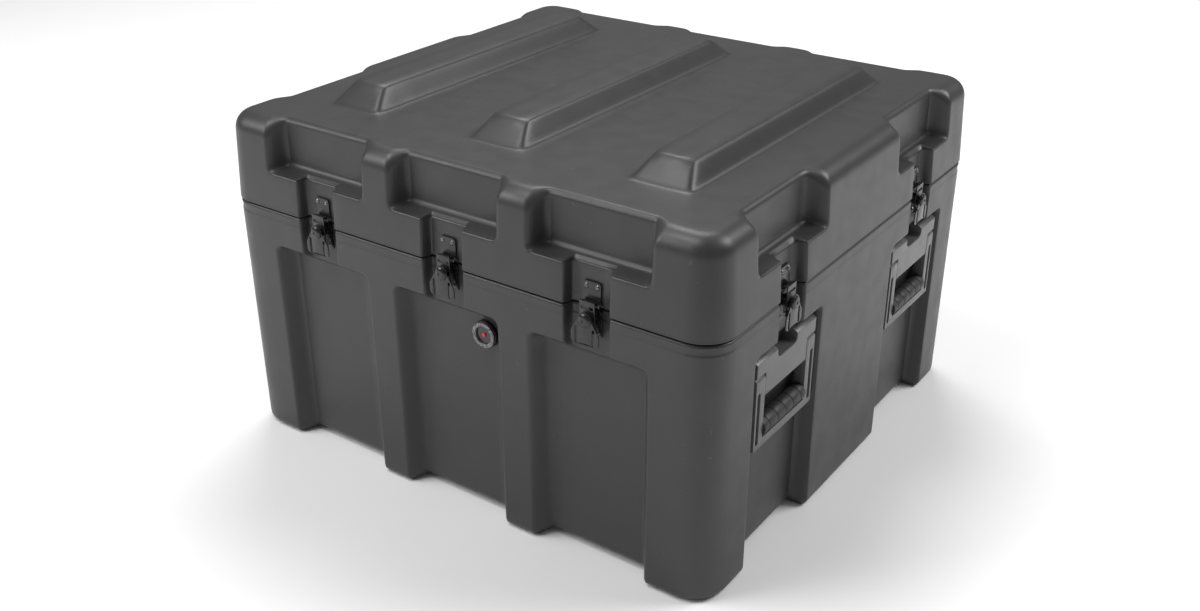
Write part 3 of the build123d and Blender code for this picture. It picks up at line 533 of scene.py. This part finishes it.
# ---- Seals ----
# A solid cord of black rubber lies in the channel of the lid's rim, and a flat ring of the same
# rubber sits under the flange of the valve. Both are cut and joined, with a faint dusty bloom.
seal_rubber, tree, shader, place = new_finish("seal_rubber_black")
bloom = node(tree, "TexNoise", {"Vector": place, "Scale": 1 / 0.012, "Detail": 3.0})
pores = node(tree, "TexNoise", {"Vector": place, "Scale": 1 / 0.0008, "Detail": 2.0})
tone = node(
    tree,
    "Mix",
    {0: bloom.outputs["Fac"], FIRST: linear("#161616"), SECOND: linear("#262626")},
    data_type="RGBA",
)
pitted = node(tree, "Bump", {"Height": pores.outputs["Fac"], "Strength": 0.4, "Distance": 0.0001})
dull = node(tree, "MapRange", {"Value": bloom.outputs["Fac"], "To Min": 0.65, "To Max": 0.85})
feed(
    tree,
    shader,
    {
        "Base Color": tone.outputs[MIXED],
        "Roughness": dull.outputs[0],
        "Normal": pitted.outputs[0],
        "IOR": 1.52,
    },
)


def dress(names, finish):
    """Gives a carried-over node one finish all over."""
    for name in names:
        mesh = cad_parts[name].data
        mesh.materials.clear()
        mesh.materials.append(finish)


dress(("lid_seal", "valve_seal"), seal_rubber)

# ---- Twist latches ----
# Ten link latches of stamped steel 1.5 mm thick, dipped black: a keeper riveted to the lid, a plate
# riveted to the base, a link on an eccentric spindle, and a wing with a domed head that turns it.


def eased(node_name, width, finish, body):
    """A copy of a node with its sharp edges rounded, as pressing and deburring leave them."""
    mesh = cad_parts[node_name].data.copy()
    shape = bmesh.new()
    shape.from_mesh(mesh)
    bmesh.ops.remove_doubles(shape, verts=shape.verts, dist=0.001 * MM)
    bmesh.ops.dissolve_limit(
        shape, angle_limit=math.radians(1), verts=shape.verts, edges=shape.edges, delimit={"NORMAL"}
    )
    sharp = [e for e in shape.edges if len(e.link_faces) == 2 and e.calc_face_angle() > math.radians(35)]
    bmesh.ops.bevel(
        shape, geom=sharp, offset=width, segments=2, profile=0.6, affect="EDGES", clamp_overlap=True
    )
    bmesh.ops.triangulate(shape, faces=[f for f in shape.faces if len(f.verts) > 4])
    shape.to_mesh(mesh)
    shape.free()
    mesh.materials.clear()
    mesh.materials.append(finish)
    mesh.shade_smooth()
    mesh.set_sharp_from_angle(angle=math.radians(32))
    piece = bpy.data.objects.new(node_name + "_eased", mesh)
    bpy.context.scene.collection.objects.link(piece)
    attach(piece, body)
    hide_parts(node_name)
    return piece


# Steel under black dip paint: satin, with a slight orange peel and corners rubbed nearly bare.
black_steel, tree, shader, place = new_finish("dipped_black_steel")
peel = node(tree, "TexNoise", {"Vector": place, "Scale": 1 / 0.0012, "Detail": 2.0})
smear = node(tree, "TexNoise", {"Vector": place, "Scale": 1 / 0.015, "Detail": 4.0, "Roughness": 0.6})
edge = node(tree, "NewGeometry", {}).outputs["Pointiness"]
tone = node(
    tree,
    "Mix",
    {0: smear.outputs["Fac"], FIRST: linear("#121213"), SECOND: linear("#1c1c1e")},
    data_type="RGBA",
)
rubbed = node(tree, "MapRange", {"Value": edge, "From Min": 0.55, "From Max": 0.72, "To Max": 0.5})
worn = node(
    tree,
    "Mix",
    {0: rubbed.outputs[0], FIRST: tone.outputs[MIXED], SECOND: linear("#6e6e70")},
    data_type="RGBA",
)
satin = node(
    tree,
    "MapRange",
    {"Value": smear.outputs["Fac"], "From Min": 0.3, "From Max": 0.7, "To Min": 0.20, "To Max": 0.32},
)
peeled = node(tree, "Bump", {"Height": peel.outputs["Fac"], "Strength": 0.3, "Distance": 0.00008})
feed(
    tree,
    shader,
    {
        "Base Color": worn.outputs[MIXED],
        "Roughness": satin.outputs[0],
        "Normal": peeled.outputs[0],
        "IOR": 1.53,
    },
)
for wall, places in WALLS.items():
    for number in range(1, len(places[0]) + 1):
        latch = f"{wall}_{number}"
        eased(f"latch_link_{latch}", 0.35 * MM, black_steel, f"link_{latch}")
        eased(f"latch_wing_{latch}", 0.45 * MM, black_steel, f"wing_{latch}")
        eased(f"latch_spindle_{latch}", 0.25 * MM, black_steel, f"wing_{latch}")
eased("keeper_plates", 0.35 * MM, black_steel, "lid")
eased("latch_plates", 0.35 * MM, black_steel, "base")

# ---- Rivets ----
# Small round-headed rivets hold the keepers and plates, dipped black. Pale, partly metallic patches of
# noise on their heads are painted highlights, bright spots standing for the glint on each domed head.
rivet_steel, tree, shader, place = new_finish("rivet_steel_painted_glints")
pressing_and_glint_noise = node(tree, "TexNoise", {"Vector": place, "Scale": 1 / 0.0015, "Detail": 4.0, "Roughness": 0.7})
# This mask picks the patches that are painted pale and metallic as highlights on the heads.
rivet_glint_patches = node(tree, "MapRange", {"Value": pressing_and_glint_noise.outputs["Fac"], "From Min": 0.44, "From Max": 0.56})
tone = node(
    tree,
    "Mix",
    {0: rivet_glint_patches.outputs[0], FIRST: linear("#39393b"), SECOND: linear("#8c8c8e")},
    data_type="RGBA",
)
glint_metallic = node(tree, "MapRange", {"Value": rivet_glint_patches.outputs[0], "To Min": 0.25, "To Max": 0.8})
pressed = node(tree, "Bump", {"Height": pressing_and_glint_noise.outputs["Fac"], "Strength": 0.3, "Distance": 0.0001})
feed(
    tree,
    shader,
    {
        "Base Color": tone.outputs[MIXED],
        "Metallic": glint_metallic.outputs[0],
        "Roughness": 0.3,
        "Normal": pressed.outputs[0],
    },
)
dress(("keeper_rivets", "latch_rivets"), rivet_steel)

# ---- Lift handles ----
# Four folding handles moulded in glass-filled black nylon: a bracket screwed through the wall to a
# zinc plate inside, and a bail that swings up on two steel pins against a light spring.
nylon, tree, shader, place = new_finish("glass_filled_nylon_black_painted_sheen")
fibre = node(tree, "TexNoise", {"Vector": place, "Scale": 1 / 0.0009, "Detail": 3.0, "Roughness": 0.7})
swirl = node(tree, "TexNoise", {"Vector": place, "Scale": 1 / 0.03, "Detail": 3.0, "Distortion": 1.5})
edge = node(tree, "NewGeometry", {}).outputs["Pointiness"]
# Both greys are lighter than the black nylon itself: painted sheen, standing for the bright floor reflected
# in the satin faces.
tone = node(
    tree,
    "Mix",
    {0: swirl.outputs["Fac"], FIRST: linear("#535355"), SECOND: linear("#5e5e60")},
    data_type="RGBA",
)
rubbed = node(tree, "MapRange", {"Value": edge, "From Min": 0.55, "From Max": 0.70, "To Max": 0.4})
worn = node(
    tree,
    "Mix",
    {0: rubbed.outputs[0], FIRST: tone.outputs[MIXED], SECOND: linear("#717173")},
    data_type="RGBA",
)
satin = node(
    tree,
    "MapRange",
    {"Value": swirl.outputs["Fac"], "From Min": 0.3, "From Max": 0.7, "To Min": 0.30, "To Max": 0.40},
)
matt = node(tree, "Bump", {"Height": fibre.outputs["Fac"], "Strength": 0.25, "Distance": 0.00006})
feed(
    tree,
    shader,
    {
        "Base Color": worn.outputs[MIXED],
        "Roughness": satin.outputs[0],
        "Normal": matt.outputs[0],
        "IOR": 1.53,
    },
)
# The sleeve of the grip is a softer, duller rubber with fine pores.
grip_rubber, tree, shader, place = new_finish("grip_rubber_black")
pores = node(tree, "TexNoise", {"Vector": place, "Scale": 1 / 0.0007, "Detail": 2.0})
wipe = node(tree, "TexNoise", {"Vector": place, "Scale": 1 / 0.02, "Detail": 3.0})
tone = node(
    tree,
    "Mix",
    {0: wipe.outputs["Fac"], FIRST: linear("#202021"), SECOND: linear("#292929")},
    data_type="RGBA",
)
dull = node(
    tree,
    "MapRange",
    {"Value": wipe.outputs["Fac"], "From Min": 0.3, "From Max": 0.7, "To Min": 0.48, "To Max": 0.60},
)
pitted = node(tree, "Bump", {"Height": pores.outputs["Fac"], "Strength": 0.35, "Distance": 0.00008})
feed(
    tree,
    shader,
    {
        "Base Color": tone.outputs[MIXED],
        "Roughness": dull.outputs[0],
        "Normal": pitted.outputs[0],
        "IOR": 1.52,
    },
)
for place_name in ("left_1", "left_2", "right_1", "right_2"):
    eased(f"handle_bracket_{place_name}", 0.6 * MM, nylon, "base")
    eased(f"handle_bail_{place_name}", 0.8 * MM, nylon, f"bail_{place_name}")
    eased(f"handle_grip_{place_name}", 0.4 * MM, grip_rubber, f"bail_{place_name}")

# The pins, screws and inner plates are zinc plated: bright, faintly blue, in fine crystals.
zinc, tree, shader, place = new_finish("zinc_plated_steel")
crystal = node(tree, "TexVoronoi", {"Vector": place, "Scale": 1 / 0.0011})
tarnish = node(tree, "TexNoise", {"Vector": place, "Scale": 1 / 0.008, "Detail": 3.0})
tone = node(
    tree,
    "Mix",
    {0: tarnish.outputs["Fac"], FIRST: linear("#b4b8bd"), SECOND: linear("#9b9ea2")},
    data_type="RGBA",
)
patchy = node(tree, "MapRange", {"Value": tarnish.outputs["Fac"], "To Min": 0.22, "To Max": 0.42})
frosted = node(tree, "Bump", {"Height": crystal.outputs["Distance"], "Strength": 0.15, "Distance": 0.00004})
feed(
    tree,
    shader,
    {
        "Base Color": tone.outputs[MIXED],
        "Metallic": 1.0,
        "Roughness": patchy.outputs[0],
        "Normal": frosted.outputs[0],
    },
)
dress(("handle_pins", "handle_back_plates", "handle_screws"), zinc)

# The springs are hard drawn wire with fine lines along it from the die.
spring_wire, tree, shader, place = new_finish("drawn_spring_wire")
lines = node(tree, "TexNoise", {"Vector": place, "Scale": 1 / 0.0003, "Detail": 1.0})
heat = node(tree, "TexNoise", {"Vector": place, "Scale": 1 / 0.004, "Detail": 2.0})
tone = node(
    tree,
    "Mix",
    {0: heat.outputs["Fac"], FIRST: linear("#8f8f92"), SECOND: linear("#7b7976")},
    data_type="RGBA",
)
drawn = node(tree, "Bump", {"Height": lines.outputs["Fac"], "Strength": 0.2, "Distance": 0.00002})
feed(
    tree,
    shader,
    {"Base Color": tone.outputs[MIXED], "Metallic": 1.0, "Roughness": 0.28, "Normal": drawn.outputs[0]},
)
dress(("handle_springs", "valve_spring"), spring_wire)

# ---- Pressure relief valve ----
# A screwed-in valve moulded in black plastic, held by a nut inside. A satin grey ring holds a clear
# smoked disc, and a small red button in its middle lets air in or out when pressed.
valve_black, tree, shader, place = new_finish("moulded_black_plastic")
skin_noise = node(tree, "TexNoise", {"Vector": place, "Scale": 1 / 0.001, "Detail": 2.0})
tone = node(
    tree,
    "Mix",
    {0: skin_noise.outputs["Fac"], FIRST: linear("#0d0d0e"), SECOND: linear("#171718")},
    data_type="RGBA",
)
satin = node(tree, "MapRange", {"Value": skin_noise.outputs["Fac"], "To Min": 0.35, "To Max": 0.5})
soft = node(tree, "Bump", {"Height": skin_noise.outputs["Fac"], "Strength": 0.2, "Distance": 0.00005})
feed(
    tree,
    shader,
    {
        "Base Color": tone.outputs[MIXED],
        "Roughness": satin.outputs[0],
        "Normal": soft.outputs[0],
        "IOR": 1.49,
    },
)
dress(("valve_body", "valve_nut"), valve_black)

ring_grey, tree, shader, place = new_finish("satin_grey_ring")
grain_and_glint_noise = node(tree, "TexNoise", {"Vector": place, "Scale": 1 / 0.003, "Detail": 3.0, "Roughness": 0.7})
ring_glint_patches = node(tree, "MapRange", {"Value": grain_and_glint_noise.outputs["Fac"], "From Min": 0.42, "From Max": 0.62})
# The pale patches are painted highlights, glints on the metal ring. The grey under them is the ring's own.
tone = node(
    tree,
    "Mix",
    {0: ring_glint_patches.outputs[0], FIRST: linear("#4b4b4d"), SECOND: linear("#9a9a9a")},
    data_type="RGBA",
)
brushed = node(tree, "Bump", {"Height": grain_and_glint_noise.outputs["Fac"], "Strength": 0.3, "Distance": 0.0001})
gleam = node(tree, "MapRange", {"Value": ring_glint_patches.outputs[0], "To Min": 0.45, "To Max": 0.25})
feed(
    tree,
    shader,
    {
        "Base Color": tone.outputs[MIXED],
        "Metallic": 0.6,
        "Roughness": gleam.outputs[0],
        "Normal": brushed.outputs[0],
    },
)
dress(("valve_bezel",), ring_grey)

smoked_disc, tree, shader, place = new_finish("smoked_disc_painted_red_reflection")
haze = node(tree, "TexNoise", {"Vector": place, "Scale": 1 / 0.006, "Detail": 2.0})
# Both tones carry a faint red: a painted reflection of the red button. The darkness is the disc's own
# smoke.
tone = node(
    tree,
    "Mix",
    {0: haze.outputs["Fac"], FIRST: linear("#2a2426"), SECOND: linear("#3d3436")},
    data_type="RGBA",
)
clear = node(tree, "MapRange", {"Value": haze.outputs["Fac"], "To Min": 0.08, "To Max": 0.2})
ripple = node(tree, "Bump", {"Height": haze.outputs["Fac"], "Strength": 0.1, "Distance": 0.0001})
feed(
    tree,
    shader,
    {
        "Base Color": tone.outputs[MIXED],
        "Roughness": clear.outputs[0],
        "Normal": ripple.outputs[0],
        "IOR": 1.49,
    },
)
dress(("valve_disc",), smoked_disc)

button_red, tree, shader, place = new_finish("glossy_red_plastic")
tint = node(tree, "TexNoise", {"Vector": place, "Scale": 1 / 0.002, "Detail": 2.0})
tone = node(
    tree,
    "Mix",
    {0: tint.outputs["Fac"], FIRST: linear("#d81f45"), SECOND: linear("#ee3f62")},
    data_type="RGBA",
)
shine = node(tree, "MapRange", {"Value": tint.outputs["Fac"], "To Min": 0.12, "To Max": 0.25})
dimple = node(tree, "Bump", {"Height": tint.outputs["Fac"], "Strength": 0.1, "Distance": 0.00005})
feed(
    tree,
    shader,
    {
        "Base Color": tone.outputs[MIXED],
        "Roughness": shine.outputs[0],
        "Normal": dimple.outputs[0],
        "IOR": 1.49,
    },
)
dress(("valve_dot",), button_red)

# ---- Floor, light and camera ----
# A plain pale studio floor under soft lamps, and a camera at a three-quarter view from above.
floor_mesh = bpy.data.meshes.new("studio_floor")
floor_mesh.from_pydata([(-9, -9, 0), (9, -9, 0), (9, 9, 0), (-9, 9, 0)], [], [(0, 1, 2, 3)])
studio_floor = bpy.data.objects.new("studio_floor", floor_mesh)
bpy.context.scene.collection.objects.link(studio_floor)
paper, tree, shader, place = new_finish("white_studio_paper")
shader.inputs["Base Color"].default_value = linear("#fbfbfb")
shader.inputs["Roughness"].default_value = 0.9
floor_mesh.materials.append(paper)

world = bpy.data.worlds.new("studio")
bpy.context.scene.world = world
world.use_nodes = True
world.node_tree.nodes["Background"].inputs["Color"].default_value = (1, 1, 1, 1)
world.node_tree.nodes["Background"].inputs["Strength"].default_value = 0.22
bpy.context.scene.view_settings.view_transform = "Standard"


def soft_lamp(name, where, aim, size, power):
    """A soft box at one place, turned to face another."""
    lamp = bpy.data.lights.new(name, "AREA")
    lamp.shape = "RECTANGLE"
    lamp.size, lamp.size_y = size
    lamp.energy = power
    holder = bpy.data.objects.new(name, lamp)
    bpy.context.scene.collection.objects.link(holder)
    holder.location = where
    holder.rotation_euler = (Vector(aim) - Vector(where)).to_track_quat("-Z", "Y").to_euler()
    return holder


soft_lamp("front_strip_box", (-0.7, -1.1, 2.9), (-0.2, -0.3, 0.3), (1.4, 0.8), 30)
soft_lamp("back_left_soft_box", (-1.7, 2.2, 4.6), (-1.5, 1.9, 0), (2.2, 2.2), 120)
soft_lamp("back_right_soft_box", (2.9, 2.3, 3.6), (1.9, 0.9, 0), (2.2, 2.2), 150)
soft_lamp("front_left_soft_box", (-2.4, -2.6, 2.4), (-1.0, -1.2, 0), (1.8, 1.8), 65)

VIEW_AROUND, VIEW_DOWN, VIEW_ROLL = math.radians(35.097), math.radians(27.163), math.radians(-0.111)
LENS = 38.64
STAND = Vector((1.0655, -1.5486, 1.1226))
towards = Vector(
    (
        math.sin(VIEW_AROUND) * math.cos(VIEW_DOWN),
        -math.cos(VIEW_AROUND) * math.cos(VIEW_DOWN),
        math.sin(VIEW_DOWN),
    )
)
level = Vector((math.cos(VIEW_AROUND), math.sin(VIEW_AROUND), 0))
upright = towards.cross(level)
side_way = level * math.cos(VIEW_ROLL) + upright * math.sin(VIEW_ROLL)
up_way = upright * math.cos(VIEW_ROLL) - level * math.sin(VIEW_ROLL)
camera_data = bpy.data.cameras.new("studio_camera")
camera_data.lens = LENS
camera_data.sensor_width = 36
camera_data.clip_end = 50
camera = bpy.data.objects.new("studio_camera", camera_data)
bpy.context.scene.collection.objects.link(camera)
camera.matrix_world = Matrix.Translation(STAND) @ Matrix((side_way, up_way, towards)).transposed().to_4x4()
bpy.context.scene.camera = camera
